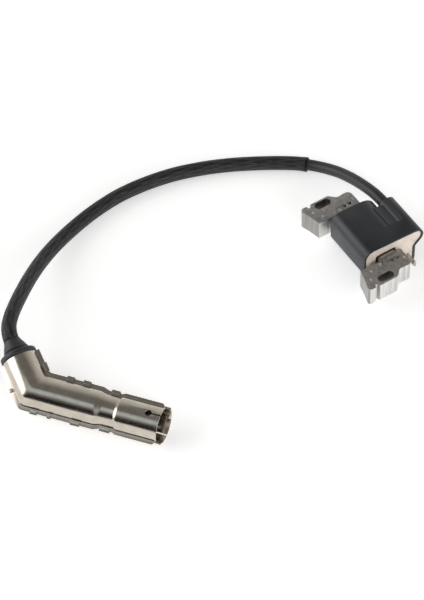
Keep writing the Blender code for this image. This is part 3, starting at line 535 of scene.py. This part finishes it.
def half_section(side, x):
    """Half a ring and its two lips at x, left selected in edit mode."""
    piece = ring(x, MID_R, 96)
    seam = side * (SEAM_GAP + SHEET / 2)
    pick(lambda p: side * p.z < 0.3)
    bpy.ops.mesh.delete(type="VERT")
    for edge in (1, -1):
        pick(lambda p: edge * p.y > 0 and abs(p.z) < 0.8)
        low = max(abs(v.co.z) for v in bmesh.from_edit_mesh(piece.data).verts if v.select) / MM
        reach = edge * (MID_R + 0.15 - sqrt(MID_R ** 2 - low ** 2))
        extrude(y=reach, z=seam - side * low)
        extrude(y=edge * (SEAM_LIP - 0.15))
    bpy.ops.mesh.select_all(action="SELECT")
    return piece


def half_shell(side, length):
    barrel = half_section(side, BARREL[0][0])
    draw_out([*BARREL, (length, LIP)])
    for edge in (1, -1):
        pick(lambda p: p.x > 75.5 and edge * p.y > MID_R + 1)
        bpy.ops.transform.translate(value=(0, -edge * 1.5 * MM, 0))
    bpy.ops.mesh.select_all(action="SELECT")
    bpy.ops.mesh.bisect(plane_co=(0, 0, 0), plane_no=mitre_normal, clear_inner=True)
    clear_selection()
    neck = half_section(side, 14.0)
    draw_out([(14.0, 1), (-NECK_LENGTH, 1)])
    move_to(neck, Matrix.Rotation(-CAP_BEND, 4, "Z"))
    edit(neck)
    bpy.ops.mesh.select_all(action="SELECT")
    bpy.ops.mesh.bisect(plane_co=(0, 0, 0), plane_no=mitre_normal, clear_outer=True)
    shell = merge(barrel, neck)
    edit(shell)
    bpy.ops.mesh.select_all(action="SELECT")
    bpy.ops.mesh.remove_doubles(threshold=1e-5)
    bpy.ops.mesh.normals_make_consistent(inside=False)
    pick(lambda p: abs(p.dot(Vector(mitre_normal))) < 0.001)
    bpy.ops.mesh.bevel(offset=1.6 * MM, segments=4, affect="EDGES")
    clear_selection()
    modify(shell, "SOLIDIFY", thickness=SHEET * MM, offset=0.0, use_even_offset=True)
    return shell


# %% Keyhole, tabs and finish
def keyhole(side, length):
    """A cutter for the relief hole and the slit that runs from it to the rim."""
    clear_selection()
    at = (RELIEF_X * MM, 0, side * CUTTER_HEIGHT * MM)
    bpy.ops.mesh.primitive_cylinder_add(vertices=40, radius=RELIEF_R * MM, depth=CUTTER_DEPTH * MM,
                                        location=at)
    hole = bpy.context.object
    reach = length + 2.0 - RELIEF_X
    bpy.ops.mesh.primitive_cube_add(size=1.0, location=(at[0] + reach / 2 * MM, 0, at[2]),
                                    scale=(reach * MM, RELIEF_SLIT * MM, CUTTER_DEPTH * MM))
    slit = bpy.context.object
    modify(hole, "BOOLEAN", operation="UNION", solver="EXACT", object=slit)
    bpy.data.objects.remove(slit)
    hole.matrix_world = Matrix.Rotation(-RELIEF_TURN, 4, "X") @ hole.matrix_world
    return hole


def lock_tab(tube, begin, finish, radius, edge):
    """A tongue of sheet that starts on the lower lip, rises past the seam and folds over the upper lip."""
    low, high = -(SEAM_GAP + SHEET / 2), SEAM_GAP + SHEET + 0.3 + SHEET / 2
    outer = radius + SEAM_LIP
    fold = outer + 0.3 + SHEET / 2
    clear_selection()
    middle = ((begin + finish) / 2 * MM, edge * (outer - 0.5 + fold) / 2 * MM, low * MM)
    bpy.ops.mesh.primitive_plane_add(size=1.0, location=middle)
    tab = bpy.context.object
    tab.scale = ((finish - begin) * MM, (fold - outer + 0.5) * MM, 1)
    bpy.ops.object.transform_apply(location=True, rotation=True, scale=True)
    edit(tab)
    pick(lambda p: edge * p.y > fold - 0.1)
    extrude(z=high - low)
    extrude(y=-edge * (fold - outer + 1.6), z=0.12)
    bpy.ops.mesh.select_all(action="SELECT")
    bpy.ops.mesh.normals_make_consistent(inside=False)
    clear_selection()
    modify(tab, "BEVEL", width=0.3 * MM, segments=2, limit_method="ANGLE", angle_limit=radians(40))
    modify(tab, "SOLIDIFY", thickness=(SHEET - 0.06) * MM, offset=0.0, use_even_offset=True)
    if tube == "neck":
        move_to(tab, Matrix.Rotation(pi - CAP_BEND, 4, "Z"))
    return tab


# tube, from, to, shell radius there, side: 1 is inside the bend
TABS = [("barrel", 17.0, 21.5, 10.2, 1), ("barrel", 27.0, 31.5, 10.2, 1), ("barrel", 44.5, 49.5, 9.2, 1),
        ("barrel", 1.5, 5.5, 10.2, -1), ("barrel", 12.0, 14.0, 10.2, -1), ("barrel", 26.0, 31.5, 10.2, -1),
        ("barrel", 43.5, 49.5, 9.2, -1), ("neck", 6.8, 11.8, 10.2, -1), ("neck", 5.0, 7.0, 10.2, 1)]

for name, node, side, length in (("upper_shell", "shield_upper", 1, BARREL_LENGTH),
                                 ("lower_shell", "shield_lower", -1, BARREL_LENGTH + LOWER_EXTRA)):
    shell = half_shell(side, length)
    cutter = keyhole(side, length)
    modify(shell, "BOOLEAN", operation="DIFFERENCE", solver="EXACT", object=cutter)
    bpy.data.objects.remove(cutter)
    modify(shell, "BEVEL", width=0.1 * MM, segments=2, limit_method="ANGLE", angle_limit=radians(50))
    if side < 0:
        shell = merge(shell, *[lock_tab(*tab) for tab in TABS])
    move_to(shell, cap_place)
    smooth(shell, 40)
    keep(shell, name, "plug_cap", "nickel_plated_steel", nickel, node)

# %% [markdown]
# ## The rubber seal
# A moulded rubber seal plugs the end of the neck and grips the lead. Outside the shield it has a flat
# rim, then a groove, then a shoulder that rounds down onto the lead. It is a lathe shape, drawn out
# of one ring: along the outside first, round the lip, and back through the bore.

# %% Draw out the seal
seal_rubber = rubber("moulded EPDM seal", "#202022", 0.42, "#333335")
SEAL = [(18.4, 9.1), (21.0, 9.1), (21.1, 10.2), (21.4, 10.7), (21.9, 10.8), (23.1, 10.8), (23.7, 10.6), (24.1, 10.0),
        (24.2, 8.0), (24.4, 7.4), (24.8, 7.2), (25.8, 7.2), (26.1, 7.5), (26.4, 7.5), (26.7, 7.1), (27.7, 6.85),
        (28.7, 6.5), (29.6, 6.05), (30.4, 5.6), (31.2, 5.25), (32.0, 5.0), (32.5, 4.9),
        (32.7, 4.7), (32.7, 3.95), (18.4, 3.95)]
seal = ring(*SEAL[0], 72)
draw_out(SEAL)
clear_selection()
edit(seal)
pick(lambda p: abs(p.x - SEAL[0][0]) < 0.01)
bpy.ops.mesh.bridge_edge_loops()
bpy.ops.mesh.select_all(action="SELECT")
bpy.ops.mesh.normals_make_consistent(inside=False)
clear_selection()
move_to(seal, cap_place @ Matrix.Rotation(pi - CAP_BEND, 4, "Z"))
smooth(seal, 50)
keep(seal, "seal", "plug_cap", "seal_rubber", seal_rubber, "rubber_seal")

# %% [markdown]
# ## Pieces kept from the CAD
# Where the CAD shape is already right, a copy of it is tidied: doubles merged, flat faces freed of
# their triangles, and the edges rounded a little, because no moulded or stamped edge is perfectly
# sharp and the light line along it is what the eye reads as an edge.

# %% Round the edges of a CAD piece
def tidy_copy(node, width, segments=2, sharp=40.0):
    """A merged copy of a CAD node with its sharp edges rounded by width, in mm."""
    clear_selection()
    piece = bpy.data.objects.new(node + "_copy", nodes[node].data.copy())
    bpy.context.scene.collection.objects.link(piece)
    edit(piece)
    bpy.ops.mesh.select_all(action="SELECT")
    bpy.ops.mesh.remove_doubles(threshold=1e-6)
    bpy.ops.mesh.dissolve_limited(angle_limit=radians(0.5))
    clear_selection()
    if width:
        modify(piece, "BEVEL", width=width * MM, segments=segments, limit_method="ANGLE", angle_limit=radians(sharp))
    smooth(piece, sharp)
    return piece


print("tidy_copy ready")

# %% [markdown]
# ## The coil case
# The case is moulded from glass-filled polyester: satin, near black with a cool cast, and faintly
# grainy from the spark-eroded mould. The grain is a few tenths of a millimetre across.

# %% Case material and piece
pbt, tree, shader, coords = start("moulded glass-filled polyester", "#24272B", 0.4)
grain = add(tree, "TexNoise", {"Vector": coords, "Scale": 2600.0, "Detail": 2.0})
cloud = add(tree, "TexNoise", {"Vector": coords, "Scale": 90.0, "Detail": 4.0})
plug(tree, shader, {
    "Base Color": add(tree, "ValToRGB", {"Fac": cloud}, [(0.3, "#202327"), (0.7, "#2A2D32")]),
    "Roughness": add(tree, "MapRange", {"Value": cloud, "From Min": 0.3, "From Max": 0.7,
                                        "To Min": 0.34, "To Max": 0.46}),
    "Normal": add(tree, "Bump", {"Height": grain, "Distance": 0.00004, "Strength": 0.6})})

case = tidy_copy("coil_case", 0.4, 3, 38)
keep(case, "case", "coil_module", "case_plastic", pbt, "coil_case")

# %% [markdown]
# ## The casting resin
# The open end of the case is filled with beige epoxy, poured hot. It creeps up the walls as it sets,
# shows the odd pinhole and flow line, and has the look of unglazed china: pale, slightly translucent
# and half glossy.

# %% Resin material and piece
epoxy, tree, shader, coords = start("cast epoxy resin", "#F0E2D6", 0.4)
plug(tree, shader, {"Subsurface Weight": 0.15, "Subsurface Radius": (0.002, 0.0012, 0.0008)})
flow = add(tree, "TexNoise", {"Vector": coords, "Scale": 160.0, "Detail": 5.0, "Distortion": 0.6})
pits = add(tree, "TexVoronoi", {"Vector": coords, "Scale": 420.0})
pinholes = add(tree, "MapRange", {"Value": pits, "From Min": 0.05, "From Max": 0.16})
tone = add(tree, "ValToRGB", {"Fac": flow}, [(0.3, "#E9D8C8"), (0.7, "#F6ECE3")])
ripple = add(tree, "Bump", {"Height": flow, "Distance": 0.0004, "Strength": 0.4})
# The pinholes are painted a darker brown than the resin round them: painted shade in the pits.
plug(tree, shader, {
    "Base Color": add(tree, "MixRGB", {"Fac": pinholes, "Color1": colour("#A8937F"), "Color2": tone}),
    "Normal": add(tree, "Bump", {"Height": pinholes, "Distance": 0.0002, "Strength": 0.6, "Normal": ripple})})

resin = tidy_copy("potting", 0.35, 3, 38)
keep(resin, "resin", "coil_module", "potting_resin", epoxy, "potting")

# %% [markdown]
# ## The laminated core
# Each leg and the bar are a stack of half-millimetre silicon steel sheets. Their faces carry a dark
# oxide and a thin insulating coat, mottled like slate. The punched and ground edges are bare bright
# steel, lined across by the joints between sheets and streaked along by the punch. Edges that face -Y
# are painted a darker grey, a painted shade on that side. One material does both: the surface normal
# tells a face from an edge.

# %% Laminated steel material
SHEET_STEEL = 0.5                   # mm
CORE_TOP_Z, SLOT_PLACE, SLOT_HALF = 21.8, (33.1, -11.3), (2.8, 5.6)
lamination, tree, shader, coords = start("coated silicon steel laminations", "#B5ACA4", 0.5, 0.85)
place = tree.nodes.new("ShaderNodeSeparateXYZ")
plug(tree, place, {"Vector": coords})
facing = tree.nodes.new("ShaderNodeSeparateXYZ")
plug(tree, facing, {"Vector": tree.nodes.new("ShaderNodeNewGeometry").outputs["Normal"]})

level = add(tree, "Math", {0: facing.outputs["Z"]}, operation="ABSOLUTE")
is_flat = add(tree, "MapRange", {"Value": level, "From Min": 0.55, "From Max": 0.85})
is_high = add(tree, "MapRange", {"Value": place.outputs["Z"], "From Min": (CORE_TOP_Z - 0.12) * MM,
                                 "From Max": (CORE_TOP_Z - 0.04) * MM})
is_top = add(tree, "Math", {0: is_flat, 1: is_high}, operation="MULTIPLY")
# Edges that face -Y are painted a darker grey: painted shade on that side of the core.
shade_on_minus_y = add(tree, "MapRange", {"Value": facing.outputs["Y"], "From Min": -0.5, "From Max": -0.85})

mottle = add(tree, "TexNoise", {"Vector": coords, "Scale": 420.0, "Detail": 6.0, "Roughness": 0.7})
top_tone = add(tree, "ValToRGB", {"Fac": mottle}, [(0.3, "#8A8785"), (0.5, "#A3A09D"), (0.72, "#BDBAB6")])
punch = add(tree, "Mapping", {"Vector": coords, "Scale": (1100.0, 1100.0, 30.0)})
streaks = add(tree, "TexNoise", {"Vector": punch, "Scale": 1.0, "Detail": 4.0})
cut_tone = add(tree, "ValToRGB", {"Fac": streaks}, [(0.35, "#CFCECB"), (0.5, "#E6E5E3"), (0.65, "#F4F4F2")])
painted_shade_tone = add(tree, "ValToRGB", {"Fac": streaks}, [(0.35, "#94928E"), (0.5, "#A3A19D"), (0.65, "#B0AEAA")])
edge_tone = add(tree, "MixRGB", {"Fac": shade_on_minus_y, "Color1": cut_tone, "Color2": painted_shade_tone})

joints = add(tree, "Math", {0: place.outputs["Z"], 1: 1.0 / (SHEET_STEEL * MM)}, operation="MULTIPLY")
saw = add(tree, "Math", {0: joints, 1: 0.5}, operation="PINGPONG")
joint_gap = add(tree, "MapRange", {"Value": saw, "From Min": 0.02, "From Max": 0.12})
lined = add(tree, "MixRGB", {"Fac": joint_gap, "Color1": colour("#A5A3A0"), "Color2": edge_tone})

# Inside the slot the steel is painted a darker brown: painted shade in the slot, with a rust cast.
far_x = add(tree, "Math", {0: place.outputs["X"]}, operation="ABSOLUTE")
off_x = add(tree, "Math", {0: far_x, 1: SLOT_PLACE[0] * MM, 2: SLOT_HALF[0] * MM}, operation="COMPARE")
off_y = add(tree, "Math", {0: place.outputs["Y"], 1: SLOT_PLACE[1] * MM, 2: SLOT_HALF[1] * MM}, operation="COMPARE")
in_slot = add(tree, "Math", {0: off_x, 1: off_y}, operation="MULTIPLY")
slot_shade_and_rust = add(tree, "MixRGB", {"Fac": in_slot, "Color1": lined, "Color2": colour("#67605B")})
fine = add(tree, "Bump", {"Height": mottle, "Distance": 0.00005, "Strength": 0.5})
grooved = add(tree, "Bump", {"Height": joint_gap, "Distance": 0.00006, "Strength": 0.6, "Normal": fine})
plug(tree, shader, {
    "Base Color": add(tree, "MixRGB", {"Fac": is_top, "Color1": slot_shade_and_rust, "Color2": top_tone}),
    "Roughness": add(tree, "MapRange", {"Value": is_top, "To Min": 0.34, "To Max": 0.5}),
    "Normal": add(tree, "Bump", {"Height": streaks, "Distance": 0.00003, "Strength": 0.5, "Normal": grooved})})

for node, name in (("core_leg_far", "far_leg"), ("core_leg_near", "near_leg"), ("core_bar", "bar")):
    keep(tidy_copy(node, 0.12, 2, 45), name, "coil_module", "lamination_steel", lamination, node)

# %% [markdown]
# ## Small fittings
# The blade for the stop wire and the strip that grounds the coil are tinned brass, stamped and
# slightly dull. The rest is inside: bobbins, windings, the trigger board and the parts in the cap.
# They keep their CAD shapes and get plain finishes of their own, which show wherever a view reaches
# into the cap's mouth or behind the core.

# %% Materials of the small fittings
def flecked(name, base, accent, roughness, metallic, scale, height):
    """A finish with one colour breaking into another at a scale in patches per metre."""
    made, tree, shader, coords = start(name, base, roughness, metallic)
    spots = add(tree, "TexNoise", {"Vector": coords, "Scale": scale, "Detail": 4.0})
    plug(tree, shader, {
        "Base Color": add(tree, "ValToRGB", {"Fac": spots}, [(0.35, base), (0.68, accent)]),
        "Roughness": add(tree, "MapRange", {"Value": spots, "To Min": roughness - 0.08, "To Max": roughness + 0.1}),
        "Normal": add(tree, "Bump", {"Height": spots, "Distance": height})})
    return made


def wound(name, base, pitch):
    """Enamelled wire wound round the bar: fine ridges along X, pitch in mm."""
    made, tree, shader, coords = start(name, base, 0.3, 1.0)
    place = tree.nodes.new("ShaderNodeSeparateXYZ")
    plug(tree, place, {"Vector": coords})
    turns = add(tree, "Math", {0: place.outputs["X"], 1: 1.0 / (pitch * MM)}, operation="MULTIPLY")
    crown = add(tree, "Math", {0: turns, 1: 0.5}, operation="PINGPONG")
    # The colour is painted darker between the turns: painted shade in the grooves between the wires.
    plug(tree, shader, {
        "Base Color": add(tree, "ValToRGB", {"Fac": crown}, [(0.0, "#4A2214"), (0.5, base)]),
        "Normal": add(tree, "Bump", {"Height": crown, "Distance": pitch * MM / 3})})
    return made


tinned = flecked("tinned brass", "#A8A49A", "#C9C5BA", 0.34, 1.0, 500.0, 0.00002)
turned_brass = flecked("turned brass", "#B08D4C", "#C9A560", 0.3, 1.0, 700.0, 0.00001)
nylon = flecked("glass-filled nylon", "#17181A", "#232426", 0.5, 0.0, 900.0, 0.00003)
boot_rubber = rubber("moulded cap insulator rubber", "#141415", 0.55, "#1E1E1F")
fr4 = flecked("solder mask on FR4", "#0F3B24", "#17502F", 0.4, 0.0, 600.0, 0.00002)
package = flecked("moulded epoxy package", "#18181A", "#222224", 0.6, 0.0, 1500.0, 0.00002)
spring_wire = flecked("spring steel wire", "#8F8F8F", "#A9A9A8", 0.3, 1.0, 900.0, 0.00001)
glazed = flecked("glazed resistor ceramic", "#CFC8B8", "#DCD6C8", 0.25, 0.0, 300.0, 0.00002)
primary_wire = wound("enamelled copper, 0.3 mm", "#B45F38", 0.3)
secondary_wire = wound("enamelled copper, fine", "#A8502E", 0.12)

# %% Fittings that show
keep(tidy_copy("kill_terminal", 0.12, 2, 45), "blade", "coil_module", "tinned_brass", tinned, "kill_terminal")
keep(tidy_copy("primary_bobbin", 0.1, 2, 40), "bobbin_tube", "coil_module", "bobbin_plastic", nylon,
     "primary_bobbin")
keep(tidy_copy("cap_insulator", 0.3, 3, 50), "boot", "plug_cap", "cap_insulator", boot_rubber, "cap_insulator")
keep(tidy_copy("plug_clip", 0.1, 2, 50), "plug_grip", "plug_cap", "brass", turned_brass, "plug_clip")
keep(tidy_copy("ground_clip", 0.08, 2, 45), "ground_strip", "coil_module", "tinned_brass", tinned,
     "ground_clip")

# %% Finishes on the CAD nodes that stay
FINISHES = {
    "secondary_bobbin": nylon, "primary_winding": primary_wire, "trigger_board": fr4, "switch_transistor": package,
    "trigger_chip": package, "high_voltage_pin": tinned, "lead_screw": turned_brass,
    "suppressor_resistor": glazed, "contact_spring": spring_wire,
    **{f"secondary_winding_{i}": secondary_wire for i in range(1, 6)}}
for node, look in FINISHES.items():
    nodes[node].data.materials.clear()
    nodes[node].data.materials.append(look)
    for face in nodes[node].data.polygons:
        face.material_index = 0
print(len(FINISHES), "CAD nodes keep their shape")

# %% Gather the pieces on the lead
on_the_lead = [bpy.data.objects[name] for name in ("sleeve", "seal", "upper_shell", "lower_shell", "boot", "plug_grip")]
on_the_lead += [nodes[name] for name in ("lead_screw", "suppressor_resistor", "contact_spring")]
clear_selection()
